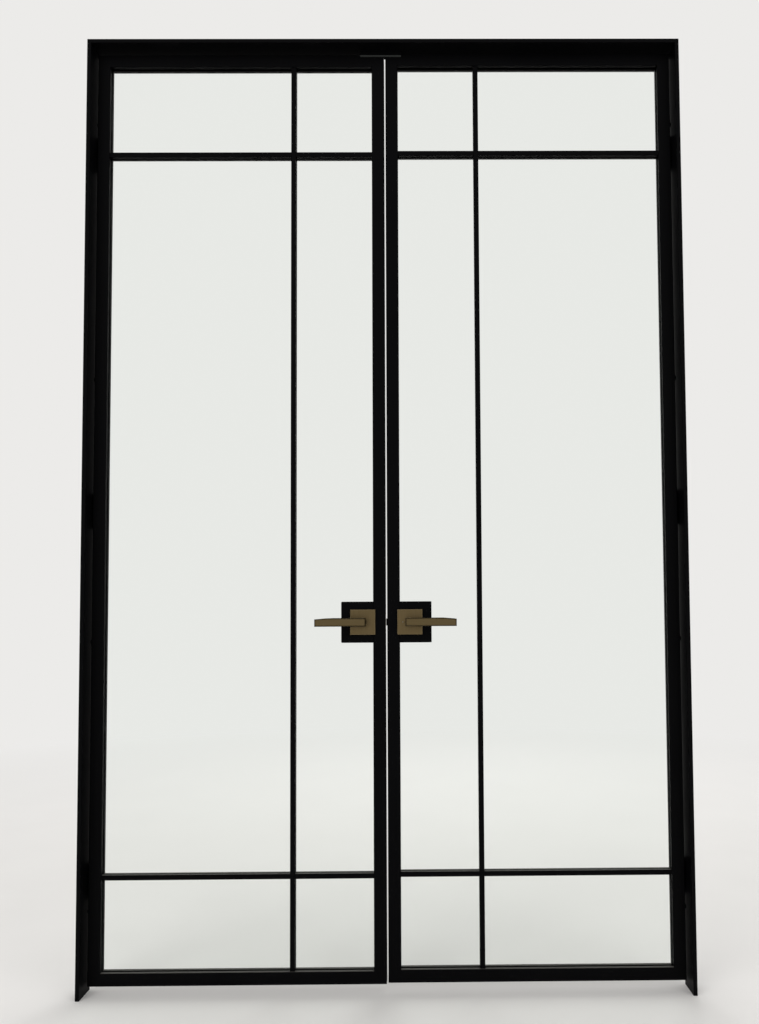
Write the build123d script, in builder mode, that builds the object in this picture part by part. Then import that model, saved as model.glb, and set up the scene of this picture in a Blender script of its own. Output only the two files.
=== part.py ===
from build123d import *
import os

# A pair of slim steel-framed glass doors hung in a flat steel frame.
# Both leaves are drawn shut. X runs to the right and Y away from the near side, with Z up.
# The origin is on the floor, below the middle of the meeting gap and of the leaves' depth.
# The leaves swing away from the near side, on hinges at the far face. Sizes are in mm.

os.makedirs("parts", exist_ok=True)

LEFT = -1
RIGHT = 1
NEAR = -1
FAR = 1
SIDE_NAMES = {LEFT: "left", RIGHT: "right"}
FACE_NAMES = {NEAR: "near", FAR: "far"}

# Frame of flat bar
overall_height = 2438.0
bar_thickness = 10.0
frame_depth = 70.0
frame_arris = 1.0
anchor_hole_radius = 3.25
anchor_sink_radius = 6.5
anchor_end_distance = 200.0
anchor_count = 4

# Gaps round the leaves
jamb_gap = 5.0
meeting_gap = 4.0
head_gap = 5.0
floor_gap = 22.0
left_leaf_drop = 3.0

# Leaves of hollow rebated section
leaf_width = 750.0
section_face = 32.0
section_depth = 32.0
section_wall = 2.0
near_corner = 2.0
far_corner = 1.0
rebate_width = 10.0

# Glass, its beads and the glazing bars
glass_thickness = 6.0
glass_clearance = 3.0
bead_arris = 0.8
bead_clearance = 0.1
glazing_bar_width = 12.7
glazing_bar_depth = 9.5
glazing_bar_chamfer = 0.8
stile_light_width = 199.0
end_light_height = 228.6

# Lock box on the meeting stile
lock_height = 904.0
lock_box_reach = 113.5
lock_box_height = 105.0
lock_box_corner = 3.0
backset = 58.0
spindle_hole_radius = 7.0

# Roses and levers
rose_size = 64.0
rose_thickness = 7.0
rose_bevel = 0.8
neck_radius = 10.45
neck_bore_clearance = 0.05
lever_length = 118.0
lever_heel = 10.0
lever_height = 21.0
lever_tip_drop = 2.6
lever_taper_length = 30.0
lever_taper_round = 150.0
lever_thickness = 9.0
lever_projection = 52.0
lever_heel_corner = 5.0
lever_tip_corner = 2.4
lever_edge = 2.0
spindle_size = 8.0
spindle_clearance = 0.05
spindle_reach = 12.0
socket_spare = 2.0

# Privacy button and the release hole opposite
privacy_offset = 17.5
release_hole_radius = 1.6
button_radius = 3.0
button_clearance = 0.1
button_stand = 4.0
button_travel = 2.4
button_collar_radius = 4.5
button_collar_thickness = 1.5

# Latch and strike in the meeting edges
plate_height = 57.0
plate_width = 24.0
plate_corner = 3.0
case_height = 22.0
case_width = 15.0
case_length = 74.0
case_clearance = 0.2
case_cavity_length = 46.0
follower_hole_radius = 6.2
bolt_height = 18.0
bolt_width = 11.0
bolt_length = 40.0
bolt_stand = 3.0
bolt_bevel = 7.0
bolt_clearance = 0.1
strike_pocket_depth = 14.0
strike_pocket_wall = 1.2
strike_pocket_clearance = 1.0

# Stop angle below the head, its pad and the magnets in the leaves' tops
stop_length = 107.0
stop_centre = -10.0
stop_thickness = 3.0
stop_lip_drop = 10.5
stop_leg_depth = 31.0
stop_screw_spacing = 30.0
stop_screw_radius = 2.0
stop_screw_head_radius = 4.0
stop_screw_length = 9.0
pad_thickness = 2.3
pad_drop = 14.3
pad_clearance = 0.2
magnet_length = 30.0
magnet_width = 14.0
magnet_depth = 17.0
magnet_flange_length = 38.0
magnet_flange_width = 20.0
magnet_flange_thickness = 1.5
magnet_offset = 34.0
magnet_gap = 0.5
magnet_fit = 0.1

# Barrel hinges welded to the far faces
hinge_end_distance = 250.0
barrel_radius = 7.5
barrel_stand = 0.4
barrel_half_length = 44.0
parting_gap = 0.3
hinge_pin_radius = 4.0
hinge_pin_length = 30.0
hinge_pin_clearance = 0.05
bore_spare = 2.0
flag_thickness = 3.0
flag_height = 38.0
leaf_flag_reach = 24.0
frame_flag_reach = 11.0

# Worked out from the sizes above
opening_width = 2 * (jamb_gap + leaf_width) + meeting_gap
overall_width = opening_width + 2 * bar_thickness
soffit = overall_height - bar_thickness
leaf_height = soffit - head_gap - floor_gap
anchor_pitch = (overall_height - 2 * anchor_end_distance) / (anchor_count - 1)
anchor_heights = [anchor_end_distance + step * anchor_pitch for step in range(anchor_count)]
half_depth = section_depth / 2
glass_face = glass_thickness / 2
frame_middle = half_depth - frame_depth / 2
leaf_foot = {LEFT: floor_gap - left_leaf_drop, RIGHT: floor_gap}
rebate_root = section_face - rebate_width
upright_start = section_face + stile_light_width
bar_heights = {
    "low": section_face + end_light_height + glazing_bar_width / 2,
    "top": leaf_height - section_face - end_light_height - glazing_bar_width / 2,
}
lock_heights = {RIGHT: lock_height, LEFT: lock_height + left_leaf_drop}
hinge_axis_x = opening_width / 2 - jamb_gap / 2
hinge_axis_y = half_depth + barrel_stand + barrel_radius
hinge_heights = {
    "bottom": hinge_end_distance,
    "middle": leaf_height / 2,
    "top": leaf_height - hinge_end_distance,
}


def write_piece(piece, label):
    """Names a finished piece and writes its file."""
    piece.part.label = label
    export_step(piece.part, f"parts/{label}.step")


def leaf_plane(side, depth):
    """A leaf's upright plane: x from its meeting edge to its hinges, y up from its foot."""
    corner = (side * meeting_gap / 2, depth, leaf_foot[side])
    return Plane(origin=corner, x_dir=(side, 0, 0), z_dir=(0, -side, 0))


def lock_plane(side, depth, offset=0.0):
    """A leaf's upright plane about the lever's axis, or about a point nearer the gap."""
    centre = Location((backset - offset, lock_heights[side]))
    return Plane(leaf_plane(side, depth).location * centre)


def leaf_floor(side, height):
    """A leaf's level plane: x from its meeting edge to its hinges, y to the far side."""
    corner = (side * meeting_gap / 2, 0, leaf_foot[side] + height)
    return Plane(origin=corner, x_dir=(side, 0, 0), z_dir=(0, 0, side))


def edge_plane(side, inset, height):
    """A plane across a leaf's meeting edge: x to the far side, y up, facing the gap."""
    centre = (side * (meeting_gap / 2 + inset), 0, leaf_foot[side] + height)
    return Plane(origin=centre, x_dir=(0, -side, 0), z_dir=(-side, 0, 0))


def make_jamb(side):
    """An upright of the frame, mitred at its top, with countersunk holes for the anchors."""
    outer = side * overall_width / 2
    inner = side * opening_width / 2
    with BuildPart() as jamb:
        with BuildSketch(Plane.XY):
            with Locations(((outer + inner) / 2, frame_middle)):
                Rectangle(bar_thickness, frame_depth)
        extrude(amount=overall_height)
        mitre = Plane(origin=(outer, 0, overall_height), z_dir=(side, 0, -1))
        split(bisect_by=mitre, keep=Keep.TOP)
        fillet(jamb.edges().filter_by(Axis.Z).group_by(Axis.Y)[0], radius=frame_arris)
        for height in anchor_heights:
            with Locations(Plane(origin=(inner, 0, height), z_dir=(-side, 0, 0))):
                CounterSinkHole(anchor_hole_radius, anchor_sink_radius, depth=bar_thickness)
    write_piece(jamb, f"jamb_{SIDE_NAMES[side]}")


def make_head():
    """The top bar of the frame, mitred to both jambs."""
    with BuildPart() as head:
        with BuildSketch(Plane.XY.offset(soffit)):
            with Locations((0, frame_middle)):
                Rectangle(overall_width, frame_depth)
        extrude(amount=bar_thickness)
        for side in (LEFT, RIGHT):
            corner = (side * overall_width / 2, 0, overall_height)
            split(bisect_by=Plane(origin=corner, z_dir=(-side, 0, 1)), keep=Keep.TOP)
        fillet(head.edges().filter_by(Axis.X).group_by(Axis.Y)[0], radius=frame_arris)
        for place in stop_screw_places():
            with Locations(Plane(origin=(place, 0, soffit), z_dir=(0, 0, -1))):
                Hole(stop_screw_radius, depth=stop_screw_length - stop_thickness)
    write_piece(head, "head")


def stop_screw_places():
    """Where the stop angle's two screws stand along the head."""
    return [stop_centre + way * stop_screw_spacing / 2 for way in (-1, 1)]


def make_head_stop():
    """The angle below the head: its leg lies on the soffit and its lip stops both leaves."""
    lip_back = -half_depth - pad_clearance - pad_thickness
    lip_face = lip_back - stop_thickness
    with BuildPart() as head_stop:
        with BuildSketch(Plane.YZ.offset(stop_centre)):
            with BuildLine():
                Polyline(
                    (lip_face, soffit),
                    (lip_face, soffit - stop_lip_drop),
                    (lip_back, soffit - stop_lip_drop),
                    (lip_back, soffit - stop_thickness),
                    (lip_face + stop_leg_depth, soffit - stop_thickness),
                    (lip_face + stop_leg_depth, soffit),
                    close=True,
                )
            make_face()
        extrude(amount=stop_length / 2, both=True)
        for place in stop_screw_places():
            with Locations(Plane(origin=(place, 0, soffit - stop_thickness), z_dir=(0, 0, -1))):
                CounterSinkHole(stop_screw_radius, stop_screw_head_radius, depth=stop_thickness)
    write_piece(head_stop, "head_stop")


def make_stop_pad():
    """The soft strip behind the lip, which shows below it."""
    with BuildPart() as stop_pad:
        with BuildSketch(Plane.XZ.offset(half_depth + pad_clearance)):
            with Locations((stop_centre, soffit - (stop_thickness + pad_drop) / 2)):
                Rectangle(stop_length, pad_drop - stop_thickness)
        extrude(amount=pad_thickness)
    write_piece(stop_pad, "stop_pad")


def make_head_stop_screws():
    """The two countersunk screws that hold the stop angle to the head."""
    head_height = stop_screw_head_radius - stop_screw_radius
    with BuildPart() as head_stop_screws:
        for place in stop_screw_places():
            seat = Plane(origin=(place, 0, soffit - stop_thickness), z_dir=(0, 0, 1))
            with BuildSketch(seat):
                Circle(stop_screw_radius)
            extrude(amount=stop_screw_length)
            with BuildSketch(seat):
                Circle(stop_screw_head_radius)
            with BuildSketch(seat.offset(head_height)):
                Circle(stop_screw_radius)
            loft()
    write_piece(head_stop_screws, "head_stop_screws")


def section_outline():
    """The leaf section: x from its outer edge to the glass, y to the far side."""
    with BuildSketch(Plane.XY) as section:
        with BuildLine():
            Polyline(
                (0, -half_depth),
                (section_face, -half_depth),
                (section_face, -glass_face),
                (rebate_root, -glass_face),
                (rebate_root, half_depth),
                (0, half_depth),
                close=True,
            )
        make_face()
    return section.sketch


def member_places(side):
    """Each frame member of a leaf: its outer corner, direction, inward direction, length."""
    meeting = side * meeting_gap / 2
    hinge = meeting + side * leaf_width
    foot = leaf_foot[side]
    crown = foot + leaf_height
    across = Vector(side, 0, 0)
    up = Vector(0, 0, 1)
    return {
        "meeting_stile": (Vector(meeting, 0, foot), up, across, leaf_height),
        "hinge_stile": (Vector(hinge, 0, foot), up, -across, leaf_height),
        "bottom_rail": (Vector(meeting, 0, foot), across, up, leaf_width),
        "top_rail": (Vector(meeting, 0, crown), across, -up, leaf_width),
    }


def make_member(side, name):
    """A stile or rail: the hollow rebated section, mitred at both ends."""
    start, along, inward, length = member_places(side)[name]
    profile = Plane(origin=start, x_dir=inward, z_dir=inward.cross(Vector(0, 1, 0)))
    with BuildPart() as member:
        with BuildSketch(profile) as section:
            add(section_outline())
            near_points = section.vertices().sort_by(Axis.Y)[:2]
            fillet(near_points, radius=near_corner)
            far_points = section.vertices().sort_by(Axis.Y)[-2:]
            fillet(far_points, radius=far_corner)
            offset(amount=-section_wall, mode=Mode.SUBTRACT)
        extrude(amount=length, dir=along)
        for corner, pull in ((start, along), (start + along * length, -along)):
            split(bisect_by=Plane(origin=corner, z_dir=pull - inward), keep=Keep.TOP)
        if name == "meeting_stile":
            cut_meeting_stile(side)
        if name == "top_rail":
            cut_magnet_hole(side)
    write_piece(member, f"{name}_{SIDE_NAMES[side]}")


def cut_meeting_stile(side):
    """Takes the plate's recess and the way for the latch case out of a meeting stile."""
    with BuildSketch(edge_plane(side, 0, lock_heights[side])) as recess:
        RectangleRounded(plate_width, plate_height, plate_corner)
    extrude(recess.sketch, amount=-section_wall, mode=Mode.SUBTRACT)
    if side == RIGHT:
        with BuildSketch(edge_plane(side, section_wall, lock_heights[side])) as way:
            Rectangle(case_width + 2 * case_clearance, case_height + 2 * case_clearance)
        extrude(way.sketch, amount=-section_face, mode=Mode.SUBTRACT)


def cut_magnet_hole(side):
    """Opens the top wall of a top rail for its magnet."""
    with BuildSketch(leaf_floor(side, leaf_height)) as hole:
        with Locations((magnet_offset, 0)):
            Rectangle(magnet_length + 2 * magnet_fit, magnet_width + 2 * magnet_fit)
    extrude(hole.sketch, amount=section_wall, dir=(0, 0, -1), mode=Mode.SUBTRACT)


def lock_box_block(side, start, finish, height, near, far, mode=Mode.ADD):
    """A block of the lock box, from one depth to another, centred on the lever's height."""
    with BuildSketch(leaf_plane(side, near)) as block:
        with Locations(((start + finish) / 2, lock_heights[side])):
            Rectangle(finish - start, height)
    extrude(block.sketch, amount=far - near, dir=(0, 1, 0), mode=mode)


def make_lock_box(side):
    """The box that stands from the meeting stile into the glass and holds the lock."""
    wall = section_wall
    far_reach = lock_box_reach - rebate_width
    far_height = lock_box_height - 2 * rebate_width
    near_room = (section_face, lock_box_reach - wall, lock_box_height - 2 * wall)
    far_room = (rebate_root, far_reach - wall, far_height - 2 * wall)
    step = -glass_face - wall
    with BuildPart() as lock_box:
        near_block = (section_face, lock_box_reach, lock_box_height)
        lock_box_block(side, *near_block, -half_depth, -glass_face)
        corners = lock_box.edges().filter_by(Axis.Y).group_by(Axis.X)
        fillet(corners[-1 if side == RIGHT else 0], radius=lock_box_corner)
        lock_box_block(side, rebate_root, far_reach, far_height, -glass_face, half_depth)
        lock_box_block(side, *near_room, wall - half_depth, step, mode=Mode.SUBTRACT)
        lock_box_block(side, *far_room, step, half_depth - wall, mode=Mode.SUBTRACT)
        with BuildSketch(lock_plane(side, 0)):
            Circle(spindle_hole_radius)
        extrude(amount=section_depth, both=True, mode=Mode.SUBTRACT)
        if side == RIGHT:
            with BuildSketch(lock_plane(side, 0, privacy_offset)):
                Circle(release_hole_radius)
            extrude(amount=section_depth, both=True, mode=Mode.SUBTRACT)
    write_piece(lock_box, f"lock_box_{SIDE_NAMES[side]}")


def glazed_area(side, inset, box_reach, box_height):
    """A leaf's outline brought in by an inset, less the part that the lock box takes."""
    with BuildSketch(Plane.XY) as area:
        with Locations((leaf_width / 2, leaf_height / 2)):
            Rectangle(leaf_width - 2 * inset, leaf_height - 2 * inset)
        with Locations((box_reach / 2, lock_heights[side])):
            Rectangle(box_reach, box_height, mode=Mode.SUBTRACT)
    return area.sketch


def make_glass(side):
    """The pane, notched round the lock box."""
    box_reach = lock_box_reach - rebate_width + glass_clearance
    box_height = lock_box_height - 2 * rebate_width + 2 * glass_clearance
    with BuildPart() as glass:
        with BuildSketch(leaf_plane(side, -glass_face)):
            add(glazed_area(side, rebate_root + glass_clearance, box_reach, box_height))
        extrude(amount=glass_thickness, dir=(0, 1, 0))
    write_piece(glass, f"glass_{SIDE_NAMES[side]}")


def make_glazing_bead(side):
    """The bead that fills the rebate behind the pane and goes round the lock box."""
    outer_reach = lock_box_reach - rebate_width + bead_clearance
    outer_height = lock_box_height - 2 * rebate_width + 2 * bead_clearance
    with BuildPart() as bead:
        with BuildSketch(leaf_plane(side, glass_face)):
            add(glazed_area(side, rebate_root + bead_clearance, outer_reach, outer_height))
            opening = glazed_area(side, section_face, lock_box_reach, lock_box_height)
            add(opening, mode=Mode.SUBTRACT)
        extrude(amount=half_depth - glass_face, dir=(0, 1, 0))
        far_face = bead.faces().sort_by(Axis.Y)[-1]
        chamfer(far_face.inner_wires()[0].edges(), length=bead_arris)
    write_piece(bead, f"glazing_bead_{SIDE_NAMES[side]}")


def make_upright_bar(side, face):
    """The upright glazing bar on one side of the pane, halved over both crossbars."""
    middle = upright_start + glazing_bar_width / 2
    length = leaf_height - 2 * section_face
    with BuildPart() as upright:
        with BuildSketch(leaf_floor(side, section_face)):
            with Locations((middle, face * (glass_face + glazing_bar_depth / 2))):
                Rectangle(glazing_bar_width, glazing_bar_depth)
        extrude(amount=length, dir=(0, 0, 1))
        chamfer(bar_outer_edges(upright, Axis.Z, face), length=glazing_bar_chamfer)
        with BuildSketch(leaf_plane(side, face * glass_face)):
            for height in bar_heights.values():
                with Locations((middle, height)):
                    Rectangle(glazing_bar_width, glazing_bar_width)
        extrude(amount=glazing_bar_depth / 2, dir=(0, face, 0), mode=Mode.SUBTRACT)
    write_piece(upright, f"{FACE_NAMES[face]}_upright_bar_{SIDE_NAMES[side]}")


def make_crossbar(side, face, name):
    """A level glazing bar on one side of the pane, halved under the upright bar."""
    middle = upright_start + glazing_bar_width / 2
    half_way = face * (glass_face + glazing_bar_depth / 2)
    with BuildPart() as crossbar:
        with BuildSketch(leaf_plane(side, face * glass_face)):
            with Locations((leaf_width / 2, bar_heights[name])):
                Rectangle(leaf_width - 2 * section_face, glazing_bar_width)
        extrude(amount=glazing_bar_depth, dir=(0, face, 0))
        chamfer(bar_outer_edges(crossbar, Axis.X, face), length=glazing_bar_chamfer)
        with BuildSketch(leaf_plane(side, half_way)):
            with Locations((middle, bar_heights[name])):
                Rectangle(glazing_bar_width, glazing_bar_width)
        extrude(amount=glazing_bar_depth / 2, dir=(0, face, 0), mode=Mode.SUBTRACT)
    write_piece(crossbar, f"{FACE_NAMES[face]}_{name}_bar_{SIDE_NAMES[side]}")


def bar_outer_edges(bar, axis, face):
    """The two long edges of a glazing bar that stand furthest from the pane."""
    return bar.edges().filter_by(axis).group_by(Axis.Y)[-1 if face == FAR else 0]


def make_rose(side, face):
    """A square rose with a bevelled edge and the bore that the lever's neck runs in."""
    back = face * half_depth
    with BuildPart() as rose:
        with BuildSketch(lock_plane(side, back)):
            Rectangle(rose_size, rose_size)
        extrude(amount=rose_thickness, dir=(0, face, 0))
        outer_face = rose.faces().sort_by(Axis.Y)[-1 if face == FAR else 0]
        chamfer(outer_face.edges(), length=rose_bevel)
        with BuildSketch(lock_plane(side, back)):
            Circle(neck_radius + neck_bore_clearance)
        extrude(amount=rose_thickness, dir=(0, face, 0), mode=Mode.SUBTRACT)
        if side == RIGHT:
            cut_privacy_hole(face)
    write_piece(rose, f"rose_{FACE_NAMES[face]}_{SIDE_NAMES[side]}")


def cut_privacy_hole(face):
    """Takes the release hole or the button's stepped hole out of a rose."""
    back = lock_plane(RIGHT, face * half_depth, privacy_offset)
    radius = release_hole_radius if face == NEAR else button_radius + button_clearance
    with BuildSketch(back) as hole:
        Circle(radius)
    extrude(hole.sketch, amount=rose_thickness, dir=(0, face, 0), mode=Mode.SUBTRACT)
    if face == FAR:
        with BuildSketch(back) as collar_room:
            Circle(button_collar_radius + button_clearance)
        room = button_travel + button_collar_thickness + 2 * button_clearance
        extrude(collar_room.sketch, amount=room, dir=(0, face, 0), mode=Mode.SUBTRACT)


def make_lever(side, face):
    """A lever: a round neck and a flat bar whose top edge falls towards its tip."""
    bar_back = lever_projection - lever_thickness
    taper = lever_length - lever_taper_length
    with BuildPart() as lever:
        with BuildSketch(lock_plane(side, face * (half_depth + bar_back))) as outline:
            with BuildLine():
                Polyline(
                    (-lever_heel, -lever_height / 2),
                    (lever_length, -lever_height / 2),
                    (lever_length, lever_height / 2 - lever_tip_drop),
                    (taper, lever_height / 2),
                    (-lever_heel, lever_height / 2),
                    close=True,
                )
            make_face()
            corners = outline.vertices().group_by(Axis.X)
            fillet(corners[1], radius=lever_taper_round)
            fillet(corners[0], radius=lever_heel_corner)
            fillet(corners[-1], radius=lever_tip_corner)
        extrude(amount=lever_thickness, dir=(0, face, 0))
        fillet(lever.faces().filter_by(Axis.Y).edges(), radius=lever_edge)
        with BuildSketch(lock_plane(side, face * half_depth)):
            Circle(neck_radius)
        extrude(amount=bar_back, dir=(0, face, 0))
        if side == RIGHT:
            with BuildSketch(lock_plane(side, face * half_depth)):
                socket = spindle_size + 2 * spindle_clearance
                Rectangle(socket, socket)
            depth = spindle_reach + socket_spare
            extrude(amount=depth, dir=(0, face, 0), mode=Mode.SUBTRACT)
    write_piece(lever, f"lever_{FACE_NAMES[face]}_{SIDE_NAMES[side]}")


def make_spindle():
    """The square spindle that joins the two levers through the latch."""
    with BuildPart() as spindle:
        with BuildSketch(lock_plane(RIGHT, 0)):
            Rectangle(spindle_size, spindle_size)
        extrude(amount=half_depth + spindle_reach, both=True)
    write_piece(spindle, "spindle")


def make_latch_case():
    """The latch's case, from behind the faceplate to past the spindle."""
    with BuildPart() as latch_case:
        with BuildSketch(edge_plane(RIGHT, section_wall, lock_height)):
            Rectangle(case_width, case_height)
        extrude(amount=-case_length)
        with BuildSketch(edge_plane(RIGHT, section_wall, lock_height)):
            Rectangle(bolt_width + 2 * bolt_clearance, bolt_height + 2 * bolt_clearance)
        extrude(amount=-case_cavity_length, mode=Mode.SUBTRACT)
        with BuildSketch(lock_plane(RIGHT, 0)):
            Circle(follower_hole_radius)
        extrude(amount=case_width, both=True, mode=Mode.SUBTRACT)
    write_piece(latch_case, "latch_case")


def make_latch_bolt():
    """The latch bolt, bevelled on the near side, with its nose in the meeting gap."""
    half_width = bolt_width / 2
    with BuildPart() as latch_bolt:
        with BuildSketch(leaf_floor(RIGHT, lock_height - bolt_height / 2)):
            with BuildLine():
                Polyline(
                    (bolt_length, -half_width),
                    (bolt_length, half_width),
                    (-bolt_stand, half_width),
                    (-bolt_stand, bolt_bevel - half_width),
                    (0, -half_width),
                    close=True,
                )
            make_face()
        extrude(amount=bolt_height, dir=(0, 0, 1))
    write_piece(latch_bolt, "latch_bolt")


def make_latch_faceplate():
    """The plate let into the right leaf's edge, with the bolt's hole."""
    with BuildPart() as faceplate:
        with BuildSketch(edge_plane(RIGHT, 0, lock_height)):
            RectangleRounded(plate_width, plate_height, plate_corner)
            hole_width = bolt_width + 2 * bolt_clearance
            hole_height = bolt_height + 2 * bolt_clearance
            Rectangle(hole_width, hole_height, mode=Mode.SUBTRACT)
        extrude(amount=-section_wall)
    write_piece(faceplate, "latch_faceplate")


def make_strike_plate():
    """The plate let into the left leaf's edge, with its pressed pocket."""
    pocket_width = bolt_width + 2 * strike_pocket_clearance
    pocket_height = bolt_height + 2 * strike_pocket_clearance
    wall = strike_pocket_wall
    edge = edge_plane(LEFT, 0, lock_heights[LEFT])
    with BuildPart() as strike_plate:
        with BuildSketch(edge):
            RectangleRounded(plate_width, plate_height, plate_corner)
        extrude(amount=-section_wall)
        with BuildSketch(edge):
            Rectangle(pocket_width + 2 * wall, pocket_height + 2 * wall)
        extrude(amount=-strike_pocket_depth - wall)
        with BuildSketch(edge):
            Rectangle(pocket_width, pocket_height)
        extrude(amount=-strike_pocket_depth, mode=Mode.SUBTRACT)
    write_piece(strike_plate, "strike_plate")


def make_privacy_button():
    """The push button in the far rose, held by a collar behind the rose's face."""
    collar_back = half_depth + button_travel + button_clearance
    front = half_depth + rose_thickness + button_stand
    with BuildPart() as button:
        with BuildSketch(lock_plane(RIGHT, collar_back, privacy_offset)):
            Circle(button_radius)
        extrude(amount=front - collar_back, dir=(0, 1, 0))
        with BuildSketch(lock_plane(RIGHT, collar_back, privacy_offset)):
            Circle(button_collar_radius)
        extrude(amount=button_collar_thickness, dir=(0, 1, 0))
    write_piece(button, "privacy_button")


def make_magnet(side):
    """The flanged magnet in a leaf's top, which the stop angle's leg draws."""
    face = soffit - stop_thickness - magnet_gap - leaf_foot[side]
    with BuildPart() as magnet:
        with BuildSketch(leaf_floor(side, leaf_height - magnet_depth)):
            with Locations((magnet_offset, 0)):
                Rectangle(magnet_length, magnet_width)
        extrude(amount=face - leaf_height + magnet_depth, dir=(0, 0, 1))
        with BuildSketch(leaf_floor(side, leaf_height)):
            with Locations((magnet_offset, 0)):
                Rectangle(magnet_flange_length, magnet_flange_width)
        extrude(amount=magnet_flange_thickness, dir=(0, 0, 1))
    write_piece(magnet, f"catch_magnet_{SIDE_NAMES[side]}")


def make_hinge_half(side, name, upper):
    """Half of a barrel hinge with its flag: the lower half has the pin, the upper the bore."""
    way = 1 if upper else -1
    axis_point = (side * hinge_axis_x, hinge_axis_y, leaf_foot[side] + hinge_heights[name])
    with BuildPart() as half:
        with BuildSketch(Plane(origin=axis_point).offset(way * parting_gap / 2)):
            Circle(barrel_radius)
        extrude(amount=barrel_half_length - parting_gap / 2, dir=(0, 0, way))
        if upper:
            bore_hinge_half(axis_point)
        else:
            pin_hinge_half(axis_point)
        add_hinge_flag(side, axis_point, way, upper)
    owner = "leaf" if upper else "frame"
    write_piece(half, f"hinge_{name}_{SIDE_NAMES[side]}_{owner}_half")


def bore_hinge_half(axis_point):
    """Bores the upper half for the pin."""
    with BuildSketch(Plane(origin=axis_point)) as bore:
        Circle(hinge_pin_radius + hinge_pin_clearance)
    extrude(bore.sketch, amount=hinge_pin_length + bore_spare, mode=Mode.SUBTRACT)


def pin_hinge_half(axis_point):
    """Stands the pin on the lower half."""
    with BuildSketch(Plane(origin=axis_point).offset(-parting_gap)) as pin:
        Circle(hinge_pin_radius)
    extrude(pin.sketch, amount=hinge_pin_length + parting_gap)


def add_hinge_flag(side, axis_point, way, upper):
    """Adds the flag that is welded to the far face of the stile or of the jamb."""
    reach = -side * leaf_flag_reach if upper else side * frame_flag_reach
    base = Plane(origin=(axis_point[0], half_depth, axis_point[2] + way * parting_gap / 2))
    with BuildSketch(base) as flag:
        with Locations((reach / 2, flag_thickness / 2)):
            Rectangle(abs(reach), flag_thickness)
    extrude(flag.sketch, amount=flag_height, dir=(0, 0, way))


make_head()
make_head_stop()
make_stop_pad()
make_head_stop_screws()
for leaf_side in (LEFT, RIGHT):
    make_jamb(leaf_side)
    for member_name in member_places(leaf_side):
        make_member(leaf_side, member_name)
    make_lock_box(leaf_side)
    make_glass(leaf_side)
    make_glazing_bead(leaf_side)
    make_magnet(leaf_side)
    for leaf_face in (NEAR, FAR):
        make_upright_bar(leaf_side, leaf_face)
        make_rose(leaf_side, leaf_face)
        make_lever(leaf_side, leaf_face)
        for bar_name in bar_heights:
            make_crossbar(leaf_side, leaf_face, bar_name)
    for hinge_name in hinge_heights:
        make_hinge_half(leaf_side, hinge_name, upper=True)
        make_hinge_half(leaf_side, hinge_name, upper=False)
make_spindle()
make_latch_case()
make_latch_bolt()
make_latch_faceplate()
make_strike_plate()
make_privacy_button()
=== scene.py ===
"""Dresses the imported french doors: finishes, small fittings, studio floor, lamps and camera."""

import logging
import math
from dataclasses import dataclass, field
from enum import Enum

import bmesh
import bpy
from mathutils import Matrix, Vector

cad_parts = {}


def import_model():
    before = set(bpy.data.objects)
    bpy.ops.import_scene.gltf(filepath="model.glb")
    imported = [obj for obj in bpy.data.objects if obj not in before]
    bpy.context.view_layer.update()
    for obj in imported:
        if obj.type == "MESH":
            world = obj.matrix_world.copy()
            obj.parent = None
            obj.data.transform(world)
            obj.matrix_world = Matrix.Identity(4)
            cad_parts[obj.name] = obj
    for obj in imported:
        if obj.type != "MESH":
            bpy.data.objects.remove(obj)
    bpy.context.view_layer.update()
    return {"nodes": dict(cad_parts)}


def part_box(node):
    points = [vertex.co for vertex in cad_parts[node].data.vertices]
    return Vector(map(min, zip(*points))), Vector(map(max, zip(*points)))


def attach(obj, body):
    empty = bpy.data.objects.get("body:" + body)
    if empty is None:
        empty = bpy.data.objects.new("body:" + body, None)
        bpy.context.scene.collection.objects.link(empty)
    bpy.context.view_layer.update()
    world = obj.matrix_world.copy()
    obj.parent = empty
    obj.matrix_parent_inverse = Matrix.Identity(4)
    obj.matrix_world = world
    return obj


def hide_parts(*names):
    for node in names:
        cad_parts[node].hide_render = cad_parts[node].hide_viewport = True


MM = 0.001
MERGE_DISTANCE = 0.001 * MM
UP = Vector((0, 0, 1))
INWARD = Vector((0, 1, 0))
# The numbers of a Mix node's sockets when it mixes colours.
COLOUR_A = 6
COLOUR_B = 7
COLOUR_RESULT = 2
log = logging.getLogger("french_doors")


class Side(Enum):
    """A leaf of the pair, seen from the near side."""

    LEFT = "left"
    RIGHT = "right"

    @property
    def way(self) -> int:
        """The sign of X on this side of the meeting gap."""
        return -1 if self is Side.LEFT else 1

    @property
    def body(self) -> str:
        """The CAD body that the leaf's pieces ride on."""
        return f"leaf_{self.value}"


class Face(Enum):
    """A side of the doors: the camera's, or the one they swing towards."""

    NEAR = "near"
    FAR = "far"

    @property
    def way(self) -> int:
        """The sign of Y on this side of the panes."""
        return -1 if self is Face.NEAR else 1


class Level(Enum):
    """The height of a hinge on its leaf."""

    BOTTOM = "bottom"
    MIDDLE = "middle"
    TOP = "top"


class Half(Enum):
    """A half of a hinge, by what it is welded to, and the way its barrel runs from the gap."""

    LEAF = 1
    FRAME = -1

    @property
    def owner(self) -> str:
        """The word that names this half's CAD node."""
        return self.name.lower()


class Grain(Enum):
    """The way a surface was rubbed or drawn, as a scale that stretches a pattern along it."""

    ALONG_X = (0.02, 1.0, 1.0)
    ALONG_Z = (1.0, 1.0, 0.02)


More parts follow.
